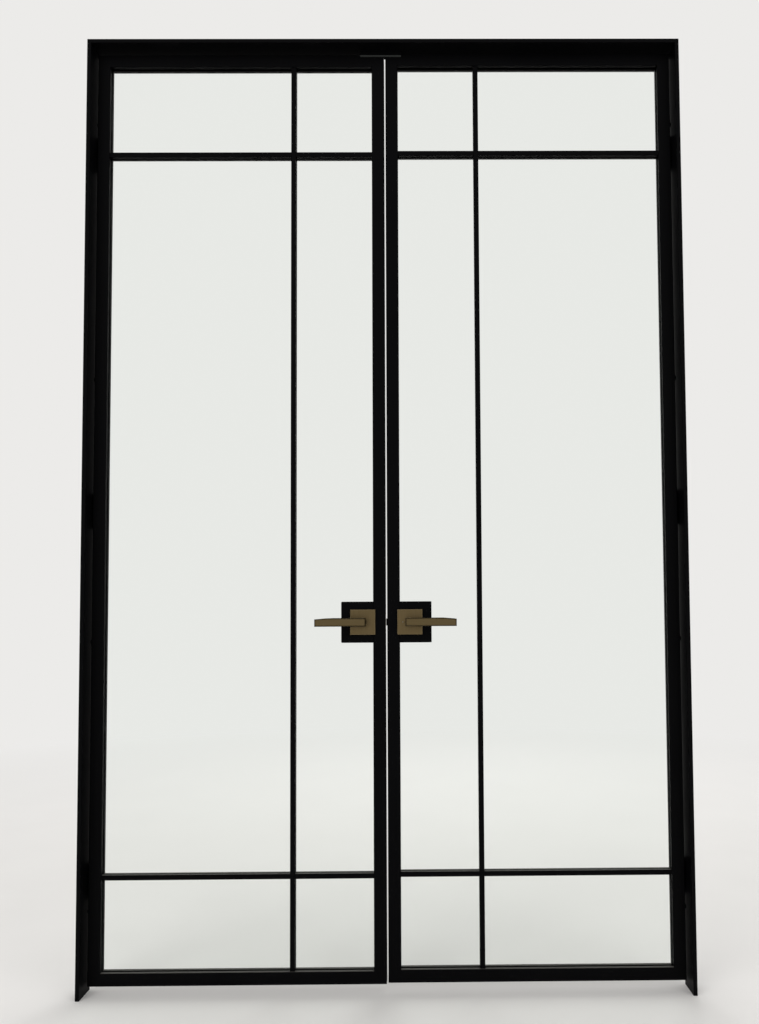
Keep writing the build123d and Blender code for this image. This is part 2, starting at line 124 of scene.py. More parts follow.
def linear(colour: str) -> tuple[float, float, float, float]:
    """Turns an sRGB hex colour into Blender's linear colour.

    Args:
        colour: six hex digits after a hash.

    Returns:
        Linear red, green and blue with an alpha of 1.
    """
    # These are the constants of the sRGB standard's own curve.
    channels = (int(colour[start : start + 2], 16) / 255 for start in (1, 3, 5))
    scaled = [c / 12.92 if c <= 0.04045 else ((c + 0.055) / 1.055) ** 2.4 for c in channels]
    return (*scaled, 1.0)


def add_node(
    tree: bpy.types.NodeTree,
    kind: str,
    settings: dict | None = None,
    links: dict | None = None,
) -> bpy.types.Node:
    """Adds a node to a material or world, with its settings and links.

    Args:
        tree: the node tree it goes into.
        kind: the node's type, without Blender's prefix.
        settings: values by property name, or by input name or number.
        links: output sockets by the input name or number that they feed.

    Returns:
        The new node.
    """
    node = tree.nodes.new(f"ShaderNode{kind}")
    for key, value in (settings or {}).items():
        if isinstance(key, str) and hasattr(node, key):
            setattr(node, key, value)
        else:
            node.inputs[key].default_value = value
    for key, source in (links or {}).items():
        tree.links.new(source, node.inputs[key])
    return node


def mix_shaders(
    tree: bpy.types.NodeTree,
    share: bpy.types.NodeSocket,
    first: bpy.types.NodeSocket,
    second: bpy.types.NodeSocket,
) -> bpy.types.NodeSocket:
    """Mixes two shaders by the second one's share, from 0 to 1."""
    links = {0: share, 1: first, 2: second}
    return add_node(tree, "MixShader", links=links).outputs["Shader"]


class Recipe:
    """A material in the making, with the patterns that the finishes share."""

    scratch_roughness: float = 0.65

    def __init__(self, name: str) -> None:
        """Starts an empty material.

        Args:
            name: what the surface is and how it was made.
        """
        self.material = bpy.data.materials.new(name)
        self.material.use_nodes = True
        self.tree = self.material.node_tree
        self.tree.nodes.clear()
        coordinates = add_node(self.tree, "TexCoord").outputs
        self.place = coordinates["Object"]
        self.normal = coordinates["Normal"]

    def noise(self, size: float, detail: float = 2.0, **more: float) -> bpy.types.NodeSocket:
        """Adds a noise.

        Args:
            size: how wide its blotches are, in metres.
            detail: how many finer layers it has.
            more: other inputs of the noise, by name.

        Returns:
            Its value, from 0 to 1.
        """
        settings = {"Scale": 1 / size, "Detail": detail, **more}
        return add_node(self.tree, "TexNoise", settings, {"Vector": self.place}).outputs["Fac"]

    def scratches(self, size: float, grain: Grain, detail: float) -> bpy.types.NodeSocket:
        """Adds a noise drawn out into long scratches.

        Args:
            size: how far apart the scratches are, in metres.
            grain: the way they run.
            detail: how many finer layers they have.

        Returns:
            Their value, from 0 to 1.
        """
        stretched = add_node(self.tree, "Mapping", {"Scale": grain.value}, {"Vector": self.place})
        settings = {"Scale": 1 / size, "Detail": detail, "Roughness": self.scratch_roughness}
        links = {"Vector": stretched.outputs["Vector"]}
        return add_node(self.tree, "TexNoise", settings, links).outputs["Fac"]

    def blend(self, part: bpy.types.NodeSocket, start: str, end: str) -> bpy.types.NodeSocket:
        """Mixes two sRGB hex colours by a value from 0 to 1."""
        settings = {"data_type": "RGBA", COLOUR_A: linear(start), COLOUR_B: linear(end)}
        return add_node(self.tree, "Mix", settings, {0: part}).outputs[COLOUR_RESULT]

    def spread(
        self,
        value: bpy.types.NodeSocket,
        result: tuple[float, float],
        source: tuple[float, float] = (0.0, 1.0),
    ) -> bpy.types.NodeSocket:
        """Stretches a value from one range to another.

        Args:
            value: the value that varies.
            result: what it becomes at the start and the end of its range.
            source: the range that is used.

        Returns:
            The stretched value.
        """
        settings = dict(zip(("From Min", "From Max", "To Min", "To Max"), (*source, *result)))
        return add_node(self.tree, "MapRange", settings, {"Value": value}).outputs["Result"]

    def facing(self, axis: Vector) -> bpy.types.NodeSocket:
        """Adds the cosine between an axis and the surface's normal, both in the piece's frame."""
        settings = {"operation": "DOT_PRODUCT", 1: axis}
        return add_node(self.tree, "VectorMath", settings, {0: self.normal}).outputs["Value"]

    def join(
        self,
        operation: str,
        first: bpy.types.NodeSocket,
        second: bpy.types.NodeSocket,
    ) -> bpy.types.NodeSocket:
        """Joins two values by one of Blender's Math operations."""
        settings = {"operation": operation}
        return add_node(self.tree, "Math", settings, {0: first, 1: second}).outputs[0]

    def cover(
        self,
        base: bpy.types.NodeSocket,
        share: bpy.types.NodeSocket,
        colour: str,
    ) -> bpy.types.NodeSocket:
        """Lays an sRGB hex colour over a base colour, by a share from 0 to 1."""
        settings = {"data_type": "RGBA", COLOUR_B: linear(colour)}
        links = {0: share, COLOUR_A: base}
        return add_node(self.tree, "Mix", settings, links).outputs[COLOUR_RESULT]

    def bump(self, height: bpy.types.NodeSocket, depth: float) -> bpy.types.NodeSocket:
        """Turns a value into a relief of this depth, in metres."""
        settings = {"Strength": 1.0, "Distance": depth}
        return add_node(self.tree, "Bump", settings, {"Height": height}).outputs["Normal"]

    def shine(self, settings: dict, links: dict) -> bpy.types.NodeSocket:
        """Adds the main shader with its settings and links."""
        return add_node(self.tree, "BsdfPrincipled", settings, links).outputs["BSDF"]

    def close(self, shader: bpy.types.NodeSocket) -> bpy.types.Material:
        """Sends the shader to the material's output and hands the material over."""
        add_node(self.tree, "OutputMaterial", links={"Surface": shader})
        return self.material


@dataclass(frozen=True)
class PowderCoatedSteel:
    """Mild steel that was sprayed with powder and baked."""

    # The eye sees a satin near-black that hardly shines from the front, with a faint orange
    # peel and a thin film of dust that makes it cloudy. Its upward faces carry a grey painted
    # sheen, which stands in for the bright room that they mirror at a grazing view.
    colour: str = "#030304"
    dusty_colour: str = "#080809"
    ledge_colour: str = "#4a4946"
    # The painted sheen sets in between these cosines of the surface's normal with up.
    ledge_turn: tuple[float, float] = (0.85, 0.98)
    roughness: tuple[float, float] = (0.36, 0.52)
    specular: float = 0.03
    # Real peel is about 1.5 mm across, under a pixel of the render, so it is drawn at 9 mm.
    peel_size: float = 9 * MM
    peel_depth: float = 0.03 * MM
    dust_size: float = 260 * MM
    dust_detail: float = 5.0
    dust_roughness: float = 0.6

    def make(self) -> bpy.types.Material:
        """Builds the material: peel in the bump, dust in colour and gloss, painted sheen on top
        faces.
        """
        recipe = Recipe("powder_coated_steel")
        dust = recipe.noise(self.dust_size, self.dust_detail, Roughness=self.dust_roughness)
        film = recipe.blend(dust, self.colour, self.dusty_colour)
        # Painted sheen: faces that look up turn grey, standing in for the bright room they
        # mirror.
        painted_ledge_sheen = recipe.spread(recipe.facing(UP), (0.0, 1.0), self.ledge_turn)
        coat = recipe.shine(
            {"Specular IOR Level": self.specular},
            {
                "Base Color": recipe.cover(film, painted_ledge_sheen, self.ledge_colour),
                "Roughness": recipe.spread(dust, self.roughness),
                "Normal": recipe.bump(recipe.noise(self.peel_size), self.peel_depth),
            },
        )
        return recipe.close(coat)


@dataclass(frozen=True)
class ClearFloatGlass:
    """Soda-lime glass that was floated flat on tin and toughened."""

    # The eye sees through it nearly unchanged, with long soft waves in what it mirrors and
    # faint smears where it was wiped.
    tint: str = "#fafdfb"
    ior: float = 1.52
    # Roller waves of toughened glass stand about 300 mm apart and are a few hundredths high.
    wave_size: float = 300 * MM
    wave_depth: float = 0.05 * MM
    wave_detail: float = 1.0
    # A wipe leaves smears a hand's width across.
    smear_size: float = 90 * MM
    smear_detail: float = 4.0
    smear_distortion: float = 1.5
    smear_range: tuple[float, float] = (0.45, 0.75)
    smear_roughness: float = 0.02

    def make(self) -> bpy.types.Material:
        """Builds the material: waves in the bump, smears in the gloss, and light let through."""
        recipe = Recipe("clear_float_glass")
        smears = recipe.noise(
            self.smear_size, self.smear_detail, Distortion=self.smear_distortion
        )
        waves = recipe.noise(self.wave_size, self.wave_detail)
        tint = linear(self.tint)
        pane = recipe.shine(
            {"Base Color": tint, "IOR": self.ior, "Transmission Weight": 1.0},
            {
                "Roughness": recipe.spread(smears, (0.0, self.smear_roughness), self.smear_range),
                "Normal": recipe.bump(waves, self.wave_depth),
            },
        )
        clear = add_node(recipe.tree, "BsdfTransparent", {"Color": tint}).outputs["BSDF"]
        shadow = add_node(recipe.tree, "LightPath").outputs["Is Shadow Ray"]
        return recipe.close(mix_shaders(recipe.tree, shadow, pane, clear))


@dataclass(frozen=True)
class BrushedBrass:
    """Brass that was rubbed one way with fine grit, then darkened and waxed."""

    # The eye sees a warm brown metal with fine lines. On the roses its edges carry a painted
    # highlight; on the lever its edges and side faces carry a painted shade.
    grain: Grain
    colour: str = "#5f5135"
    light_colour: str = "#74654a"
    roughness: tuple[float, float] = (0.26, 0.46)
    # Scratches of 180 grit are about 0.08 mm apart, so they are drawn at 1.6 mm to show.
    scratch_size: float = 1.6 * MM
    scratch_depth: float = 0.012 * MM
    scratch_detail: float = 3.0
    # The painted colour of the edges sets in at the first cosine of its turn and reaches its
    # share at the second. The painted shade on the side faces ends between the squared cosines
    # of its turn.
    edge_colour: str = "#9c8c6c"
    edge_width: float = 2.0 * MM
    edge_turn: tuple[float, float] = (0.995, 0.88)
    edge_share: float = 0.85
    edge_samples: int = 4
    side_turn: tuple[float, float] = (0.75, 0.97)
    side_share: float = 0.0

    def make(self) -> bpy.types.Material:
        """Builds the material: scratches in colour, gloss and bump, then painted light and shade
        on edges and side faces.
        """
        recipe = Recipe(f"brushed_brass_{self.grain.name.lower()}")
        scratches = recipe.scratches(self.scratch_size, self.grain, self.scratch_detail)
        brushed = recipe.blend(scratches, self.colour, self.light_colour)
        # Painted light along the edges: a highlight on the roses, a shade on the lever.
        edges = recipe.spread(self.flatness(recipe), (0.0, self.edge_share), self.edge_turn)
        # Painted shade on faces that look neither front nor back, such as the lever's top,
        # underside and ends.
        inward = recipe.facing(INWARD)
        broad = recipe.join("MULTIPLY", inward, inward)
        painted_side_shade = recipe.spread(broad, (self.side_share, 0.0), self.side_turn)
        painted_edges_and_side_faces = recipe.join("MAXIMUM", edges, painted_side_shade)
        brass = recipe.shine(
            {"Metallic": 1.0},
            {
                "Base Color": recipe.cover(brushed, painted_edges_and_side_faces, self.edge_colour),
                "Roughness": recipe.spread(scratches, self.roughness),
                "Normal": recipe.bump(scratches, self.scratch_depth),
            },
        )
        return recipe.close(brass)

    def flatness(self, recipe: Recipe) -> bpy.types.NodeSocket:
        """Adds a value of 1 on flat places that falls within an edge's width of an edge.

        Args:
            recipe: the material in the making.

        Returns:
            The cosine between the surface and the surface with its edges rounded.
        """
        settings = {"samples": self.edge_samples, "Radius": self.edge_width}
        round_off = add_node(recipe.tree, "Bevel", settings).outputs["Normal"]
        as_made = add_node(recipe.tree, "NewGeometry").outputs["Normal"]
        links = {0: round_off, 1: as_made}
        both = add_node(recipe.tree, "VectorMath", {"operation": "DOT_PRODUCT"}, links)
        return both.outputs["Value"]


@dataclass(frozen=True)
class PlatedSteel:
    """Drawn or pressed steel with a thin finish over it, such as zinc or black oxide."""

    # The eye sees a cloudy grey or black sheen, with fine lines from the drawing.
    name: str
    colour: str
    cloud_colour: str
    roughness: tuple[float, float]
    cloud_size: float = 7 * MM
    cloud_detail: float = 3.0
    cloud_distortion: float = 0.8
    # Draw lines are hundredths of a millimetre apart, so they are drawn at 0.9 mm to show.
    line_size: float = 0.9 * MM
    line_depth: float = 0.005 * MM
    line_detail: float = 2.0

    def make(self) -> bpy.types.Material:
        """Builds the material: clouds in the colour and the gloss, lines in the bump."""
        recipe = Recipe(self.name)
        clouds = recipe.noise(
            self.cloud_size, self.cloud_detail, Distortion=self.cloud_distortion
        )
        lines = recipe.scratches(self.line_size, Grain.ALONG_X, self.line_detail)
        plate = recipe.shine(
            {"Metallic": 1.0},
            {
                "Base Color": recipe.blend(clouds, self.colour, self.cloud_colour),
                "Roughness": recipe.spread(clouds, self.roughness),
                "Normal": recipe.bump(lines, self.line_depth),
            },
        )
        return recipe.close(plate)


@dataclass(frozen=True)
class MouldedRubber:
    """Rubber left as it was moulded, or sealant left as it was tooled."""

    # The eye sees a matt skin with small dimples and a light bloom on it.
    name: str
    colour: str
    bloom_colour: str
    roughness: float
    specular: float = 0.2
    # The dimples are about 1 mm across and are drawn at 3 mm to show.
    dimple_size: float = 3 * MM
    dimple_depth: float = 0.04 * MM
    dimple_detail: float = 4.0

    def make(self) -> bpy.types.Material:
        """Builds the material: dimples in the bump and a little bloom in the colour."""
        recipe = Recipe(self.name)
        dimples = recipe.noise(self.dimple_size, self.dimple_detail)
        skin = recipe.shine(
            {"Roughness": self.roughness, "Specular IOR Level": self.specular},
            {
                "Base Color": recipe.blend(dimples, self.colour, self.bloom_colour),
                "Normal": recipe.bump(dimples, self.dimple_depth),
            },
        )
        return recipe.close(skin)


@dataclass
class Finishes:
    """Every finish on the doors, made once."""

    steel: bpy.types.Material = field(init=False)
    glass: bpy.types.Material = field(init=False)
    rose_brass: bpy.types.Material = field(init=False)
    lever_brass: bpy.types.Material = field(init=False)
    zinc: bpy.types.Material = field(init=False)
    black_screw: bpy.types.Material = field(init=False)
    pad_rubber: bpy.types.Material = field(init=False)
    sealant: bpy.types.Material = field(init=False)

    def __post_init__(self) -> None:
        """Makes the materials."""
        self.steel = PowderCoatedSteel().make()
        self.glass = ClearFloatGlass().make()
        # The roses' edges carry a painted highlight.
        self.rose_brass = BrushedBrass(Grain.ALONG_Z).make()
        # The lever's edges and side faces carry a painted shade.
        self.lever_brass = BrushedBrass(
            Grain.ALONG_X,
            colour="#5b4e33",
            light_colour="#6e6046",
            edge_colour="#1c160b",
            edge_width=4.5 * MM,
            edge_turn=(0.9995, 0.97),
            edge_share=0.95,
            side_share=0.95,
        ).make()
        self.zinc = PlatedSteel("zinc_plated_steel", "#a9adb0", "#c3c6c6", (0.26, 0.44)).make()
        self.black_screw = PlatedSteel(
            "black_oxide_steel", "#1c1c20", "#2b2b30", (0.4, 0.6)
        ).make()
        self.pad_rubber = MouldedRubber("moulded_grey_rubber", "#262827", "#323433", 0.85).make()
        self.sealant = MouldedRubber("tooled_black_silicone", "#08080a", "#101012", 0.45).make()


def dress(
    nodes: dict[str, bpy.types.Object],
    names: list[str],
    finish: bpy.types.Material,
) -> None:
    """Gives CAD nodes their finish through their material slots.

    Args:
        nodes: the frame's nodes by name.
        names: the nodes to dress.
        finish: the material they get.
    """
    for name in names:
        for slot in nodes[name].material_slots:
            slot.material = finish


def make_object(
    mesh: bmesh.types.BMesh,
    name: str,
    finish: bpy.types.Material,
) -> bpy.types.Object:
    """Turns a bmesh into an object of the scene.

    Args:
        mesh: the shape, in metres, which is freed.
        name: the name of the object and of its mesh.
        finish: its material.

    Returns:
        The new object.
    """
    data = bpy.data.meshes.new(name)
    mesh.to_mesh(data)
    mesh.free()
    data.materials.append(finish)
    made = bpy.data.objects.new(name, data)
    bpy.context.scene.collection.objects.link(made)
    return made


def finish_piece(
    mesh: bmesh.types.BMesh,
    name: str,
    body: str,
    finish: bpy.types.Material,
) -> bpy.types.Object:
    """Turns a finished bmesh into a piece that rides on a body.

    Args:
        mesh: the shape, in metres and in place.
        name: the piece's name.
        body: the CAD body it rides on.
        finish: its material.

    Returns:
        The new object.
    """
    bmesh.ops.remove_doubles(mesh, verts=mesh.verts, dist=MERGE_DISTANCE)
    bmesh.ops.recalc_face_normals(mesh, faces=mesh.faces)
    piece = make_object(mesh, name, finish)
    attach(piece, body)
    log.info("%s rides on %s with %d faces", name, body, len(piece.data.polygons))
    return piece


def middle(name: str) -> Vector:
    """The centre of a CAD node's box at rest."""
    low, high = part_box(name)
    return (low + high) / 2


def standing(place: Vector, along: Vector) -> Matrix:
    """The frame at a place whose Z axis runs along a direction."""
    return Matrix.Translation(place) @ along.to_track_quat("Z", "Y").to_matrix().to_4x4()


def points(geom: list) -> list[bmesh.types.BMVert]:
    """The points among the parts that an operator gives back."""
    return [part for part in geom if isinstance(part, bmesh.types.BMVert)]


def loop_edges(verts: list[bmesh.types.BMVert]) -> list[bmesh.types.BMEdge]:
    """The edges that join these points to each other."""
    inside = set(verts)
    edges = dict.fromkeys(edge for vert in verts for edge in vert.link_edges)
    return [edge for edge in edges if inside.issuperset(edge.verts)]


def grow_loop(
    mesh: bmesh.types.BMesh,
    verts: list[bmesh.types.BMVert],
    shift: Vector,
    growth: float = 1.0,
) -> list[bmesh.types.BMVert]:
    """Extrudes a closed loop by one step.

    Args:
        mesh: the mesh that holds it.
        verts: the loop's points.
        shift: how far the new loop lies from it.
        growth: how much wider the new loop is.

    Returns:
        The new loop's points.
    """
    grown = points(bmesh.ops.extrude_edge_only(mesh, edges=loop_edges(verts))["geom"])
    centre = Matrix.Translation(-sum((vert.co for vert in grown), Vector()) / len(grown))
    bmesh.ops.scale(mesh, vec=Vector((growth,) * 3), verts=grown, space=centre)
    bmesh.ops.translate(mesh, vec=shift, verts=grown)
    return grown


def spaced(start: float, end: float, pitch: float) -> list[float]:
    """Places from start to end, evenly spaced and no further apart than the pitch."""
    count = math.ceil((end - start) / pitch)
    return [start + (end - start) * step / count for step in range(count + 1)]


@dataclass(frozen=True)
class SocketScrew:
    """A screw that is turned by a hexagon key."""

    rim_radius: float
    socket_radius: float
    socket_depth: float
    # Each step's radius, and how far it lies below the one before it.
    steps: tuple[tuple[float, float], ...]
    segments: int = 24
    socket_corners: int = 6

    @property
    def height(self) -> float:
        """How far its last step lies below its head's outer face."""
        return sum(drop for _, drop in self.steps)

    def add(self, mesh: bmesh.types.BMesh, place: Vector, out: Vector) -> None:
        """Adds one screw to a mesh.

        Args:
            mesh: the mesh that it joins.
            place: the middle of its head's outer face.
            out: the direction that the head faces.
        """
        stand = standing(place, out)
        rim, key = (
            bmesh.ops.create_circle(mesh, radius=radius, segments=corners, matrix=stand)["verts"]
            for radius, corners in (
                (self.rim_radius, self.segments),
                (self.socket_radius, self.socket_corners),
            )
        )
        bmesh.ops.bridge_loops(mesh, edges=loop_edges(rim) + loop_edges(key))
        socket_floor = grow_loop(mesh, key, -out * self.socket_depth)
        bmesh.ops.contextual_create(mesh, geom=loop_edges(socket_floor))
        radius = self.rim_radius
        for next_radius, drop in self.steps:
            rim = grow_loop(mesh, rim, -out * drop, next_radius / radius)
            radius = next_radius
        bmesh.ops.contextual_create(mesh, geom=loop_edges(rim))


@dataclass(frozen=True)
class WeldBead:
    """A rippled run of weld metal, half sunk in the steel that it joins."""

    radius: float = 1.9 * MM
    ripple_length: float = 1.5 * MM
    waist: float = 0.8
    segments: int = 10

    def add(self, mesh: bmesh.types.BMesh, start: Vector, end: Vector) -> None:
        """Adds a run of weld to a mesh.

        Args:
            mesh: the mesh that it joins.
            start: where the run starts.
            end: where it ends.
        """
        run = end - start
        count = max(2, round(run.length / self.ripple_length))
        ring = bmesh.ops.create_circle(
            mesh,
            radius=self.radius,
            segments=self.segments,
            matrix=standing(start, run),
            cap_ends=True,
        )["verts"]
        for ripple in range(count):
            growth = self.waist if ripple % 2 == 0 else 1 / self.waist
            ring = grow_loop(mesh, ring, run / count, growth)
        bmesh.ops.contextual_create(mesh, geom=loop_edges(ring))


@dataclass
class OuterFrame:
    """The flat-bar frame with the stop below its head."""

    nodes: dict[str, bpy.types.Object]
    finishes: Finishes
    screw_pitch: float = 30 * MM
    screw_rim_radius: float = 3.95 * MM
    screw_shank_radius: float = 2 * MM
    key_radius: float = 1.5 * MM
    key_depth: float = 1.2 * MM

    def build(self) -> None:
        """Dresses the frame's nodes and builds the stop's screws."""
        steel = ["jamb_left", "jamb_right", "head", "head_stop"]
        dress(self.nodes, steel, self.finishes.steel)
        dress(self.nodes, ["stop_pad"], self.finishes.pad_rubber)
        self.build_stop_screws()

    def build_stop_screws(self) -> None:
        """Builds the stop's countersunk screws with the sockets of their keys."""
        low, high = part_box("head_stop_screws")
        cone = self.screw_rim_radius - self.screw_shank_radius
        screw = SocketScrew(
            rim_radius=self.screw_rim_radius,
            socket_radius=self.key_radius,
            socket_depth=self.key_depth,
            steps=(
                (self.screw_shank_radius, cone),
                (self.screw_shank_radius, high.z - low.z - cone),
            ),
        )
        mesh = bmesh.new()
        for way in (-1, 1):
            x = (low.x + high.x + way * self.screw_pitch) / 2
            screw.add(mesh, Vector((x, (low.y + high.y) / 2, low.z)), -UP)
        piece = finish_piece(
            mesh, "stop_screws_with_sockets", "frame", self.finishes.black_screw
        )
        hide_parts("head_stop_screws")


@dataclass
class Leaf:
    """One glazed leaf: its members, pane, bead, bars and magnet, with sealant and bead screws."""

    nodes: dict[str, bpy.types.Object]
    finishes: Finishes
    side: Side
    seal_height: float = 2.4 * MM
    bead_width: float = 10 * MM
    bead_screw_pitch: float = 280 * MM
    bead_screw_end: float = 60 * MM
    lock_box_clearance: float = 12 * MM
    bead_screw: SocketScrew = SocketScrew(
        rim_radius=2.1 * MM,
        socket_radius=1.1 * MM,
        socket_depth=0.35 * MM,
        steps=((2.5 * MM, 0.15 * MM), (2.6 * MM, 0.3 * MM)),
    )

    def build(self) -> None:
        """Dresses the leaf's nodes and builds its sealant and its bead's screws."""
        side = self.side.value
        steel = [
            "hinge_stile",
            "meeting_stile",
            "top_rail",
            "bottom_rail",
            "lock_box",
            "glazing_bead",
        ]
        steel += [f"{face.value}_{bar}_bar" for face in Face for bar in ("upright", "top", "low")]
        dress(self.nodes, [f"{name}_{side}" for name in steel], self.finishes.steel)
        dress(self.nodes, [f"glass_{side}"], self.finishes.glass)
        dress(self.nodes, [f"catch_magnet_{side}"], self.finishes.zinc)
        for face in Face:
            self.build_seal(face)
        self.build_bead_screws()

    def sight_line(self, depth: float) -> list[Vector]:
        """The corners of the pane's open part, round the lock box.

        Args:
            depth: the Y of the plane they lie in.

        Returns:
            The corners, in order.
        """
        side = self.side.value
        way = self.side.way
        meeting = way * max(abs(corner.x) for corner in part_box(f"meeting_stile_{side}"))
        hinge = way * min(abs(corner.x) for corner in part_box(f"hinge_stile_{side}"))
        box_low, box_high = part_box(f"lock_box_{side}")
        box_end = way * max(abs(box_low.x), abs(box_high.x))
        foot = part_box(f"bottom_rail_{side}")[1].z
        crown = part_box(f"top_rail_{side}")[0].z
        corners = [
            (meeting, foot),
            (hinge, foot),
            (hinge, crown),
            (meeting, crown),
            (meeting, box_high.z),
            (box_end, box_high.z),
            (box_end, box_low.z),
            (meeting, box_low.z),
        ]
        return [Vector((x, depth, z)) for x, z in corners]

    def build_seal(self, face: Face) -> None:
        """Builds the thin strip of silicone that stands on the pane along the steel.

        Args:
            face: the side of the pane that it runs on.
        """
        low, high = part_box(f"glass_{self.side.value}")
        corners = self.sight_line(high.y if face is Face.FAR else low.y)
        mesh = bmesh.new()
        foot = [mesh.verts.new(corner) for corner in corners]
        line = [mesh.edges.new(pair) for pair in zip(foot, foot[1:] + foot[:1])]
        grown = bmesh.ops.extrude_edge_only(mesh, edges=line)["geom"]
        rise = INWARD * face.way * self.seal_height
        bmesh.ops.translate(mesh, vec=rise, verts=points(grown))
        finish_piece(
            mesh,
            f"silicone_seal_{face.value}_{self.side.value}",
            self.side.body,
            self.finishes.sealant,
        )

    def bead_screw_places(self) -> list[Vector]:
        """The places of the bead's screws, round the pane and clear of the lock box."""
        low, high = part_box(f"glazing_bead_{self.side.value}")
        box_low, box_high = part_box(f"lock_box_{self.side.value}")
        line = self.bead_width / 2
        end = self.bead_screw_end
        uprights = [
            (x, z)
            for x in (low.x + line, high.x - line)
            for z in spaced(low.z + end, high.z - end, self.bead_screw_pitch)
        ]
        levels = [
            (x, z)
            for z in (low.z + line, high.z - line)
            for x in spaced(low.x + end, high.x - end, self.bead_screw_pitch)
        ]
        clear = self.lock_box_clearance
        return [
            Vector((x, high.y, z))
            for x, z in uprights + levels
            if not (
                box_low.x - clear < x < box_high.x + clear
                and box_low.z - clear < z < box_high.z + clear
            )
        ]

    def build_bead_screws(self) -> None:
        """Builds the low screws that hold the bead, on the far side."""
        mesh = bmesh.new()
        out = INWARD * Face.FAR.way
        stand = out * self.bead_screw.height
        for place in self.bead_screw_places():
            self.bead_screw.add(mesh, place + stand, out)
        finish_piece(
            mesh,
            f"bead_screws_{self.side.value}",
            self.side.body,
            self.finishes.black_screw,
        )


@dataclass
class Hinge:
    """A barrel hinge: its two halves, the washer between them, its caps and its welds."""

    nodes: dict[str, bpy.types.Object]
    finishes: Finishes
    side: Side
    level: Level
    barrel_radius: float = 7.5 * MM
    parting_gap: float = 0.3 * MM
    flag_height: float = 38 * MM
    cap_height: float = 2.4 * MM
    cap_inset: float = 0.35 * MM
    cap_segments: int = 28
    washer_bore: float = 4.15 * MM
    washer_stand: float = 0.15 * MM
    washer_clearance: float = 0.02 * MM
    # The leaf's weld stops this far short of the pin's axis, and the jamb's starts beyond it.
    leaf_weld_clearance: float = 9 * MM
    frame_weld_clearance: float = 3 * MM
    weld: WeldBead = WeldBead()

    def node(self, half: Half) -> str:
        """The name of the CAD node of one half."""
        return f"hinge_{self.level.value}_{self.side.value}_{half.owner}_half"

    def piece(self, part: str) -> str:
        """The name of one of the hinge's own pieces."""
        return f"hinge_{self.level.value}_{self.side.value}_{part}"

    def body(self, half: Half) -> str:
        """The CAD body that one half rides on."""
        return self.side.body if half is Half.LEAF else "frame"

    def axis(self) -> Vector:
        """The point of the pin's axis at the leaf half's foot."""
        low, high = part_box(self.node(Half.LEAF))
        outer = high.x if self.side is Side.RIGHT else low.x
        radius = self.barrel_radius
        return Vector((outer - self.side.way * radius, high.y - radius, low.z))

    def build(self) -> None:
        """Dresses the halves and builds the caps, the washer and the welds."""
        dress(self.nodes, [self.node(half) for half in Half], self.finishes.steel)
        self.build_washer()
        for half in Half:
            self.build_cap(half)
            self.build_weld(half)

    def build_cap(self, half: Half) -> None:
        """Builds the low dome pressed into a barrel's end.

        Args:
            half: the half that carries it.
        """
        low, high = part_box(self.node(half))
        end = self.axis()
        end.z = high.z if half is Half.LEAF else low.z
        foot = self.barrel_radius - self.cap_inset
        mesh = bmesh.new()
        bmesh.ops.create_uvsphere(
            mesh, u_segments=self.cap_segments, v_segments=self.cap_segments // 2, radius=foot
        )
        everything = mesh.verts[:] + mesh.edges[:] + mesh.faces[:]
        bmesh.ops.bisect_plane(
            mesh, geom=everything, plane_co=Vector(), plane_no=-UP, clear_outer=True
        )
        rim = [edge for edge in mesh.edges if edge.is_boundary]
        bmesh.ops.contextual_create(mesh, geom=rim)
        squash = Vector((1, 1, half.value * self.cap_height / foot))
        bmesh.ops.scale(mesh, vec=squash, verts=mesh.verts)
        bmesh.ops.translate(mesh, vec=end, verts=mesh.verts)
        name = self.piece(f"{half.owner}_cap")
        finish_piece(mesh, name, self.body(half), self.finishes.steel)

    def build_washer(self) -> None:
        """Builds the brass washer between the halves."""
        thickness = self.parting_gap - 2 * self.washer_clearance
        foot = Matrix.Translation(self.axis() - UP * (self.washer_clearance + thickness))
        mesh = bmesh.new()
        for radius in (self.washer_bore, self.barrel_radius + self.washer_stand):
            bmesh.ops.create_circle(mesh, radius=radius, segments=self.cap_segments, matrix=foot)
        ring = bmesh.ops.bridge_loops(mesh, edges=mesh.edges[:])["faces"]
        grown = bmesh.ops.extrude_face_region(mesh, geom=ring, use_keep_orig=True)["geom"]
        bmesh.ops.translate(mesh, vec=UP * thickness, verts=points(grown))
        name = self.piece("washer")
        finish_piece(mesh, name, "frame", self.finishes.rose_brass)

    def build_weld(self, half: Half) -> None:
        """Builds the weld along the far end of a half's flag and, on the leaf, down its side.

        Args:
            half: the half that carries the flag.
        """
        low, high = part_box(self.node(half))
        axis = self.axis()
        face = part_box(f"hinge_stile_{self.side.value}")[1].y
        way = self.side.way
        inner, outer = sorted((low.x, high.x), key=abs)
        foot = axis.z if half is Half.LEAF else axis.z - self.parting_gap
        end = foot + half.value * self.flag_height
        mesh = bmesh.new()
        if half is Half.LEAF:
            corner = Vector((inner, face, end))
            by_pin = Vector((axis.x - way * self.leaf_weld_clearance, face, end))
            by_foot = Vector((inner, face, foot + self.weld.radius))
            self.weld.add(mesh, corner, by_pin)
            self.weld.add(mesh, corner, by_foot)
        else:
            by_pin = Vector((axis.x + way * self.frame_weld_clearance, face, end))
            by_edge = Vector((outer - way * self.weld.radius, face, end))
            self.weld.add(mesh, by_pin, by_edge)
        name = self.piece(f"{half.owner}_weld")
        finish_piece(mesh, name, self.body(half), self.finishes.steel)


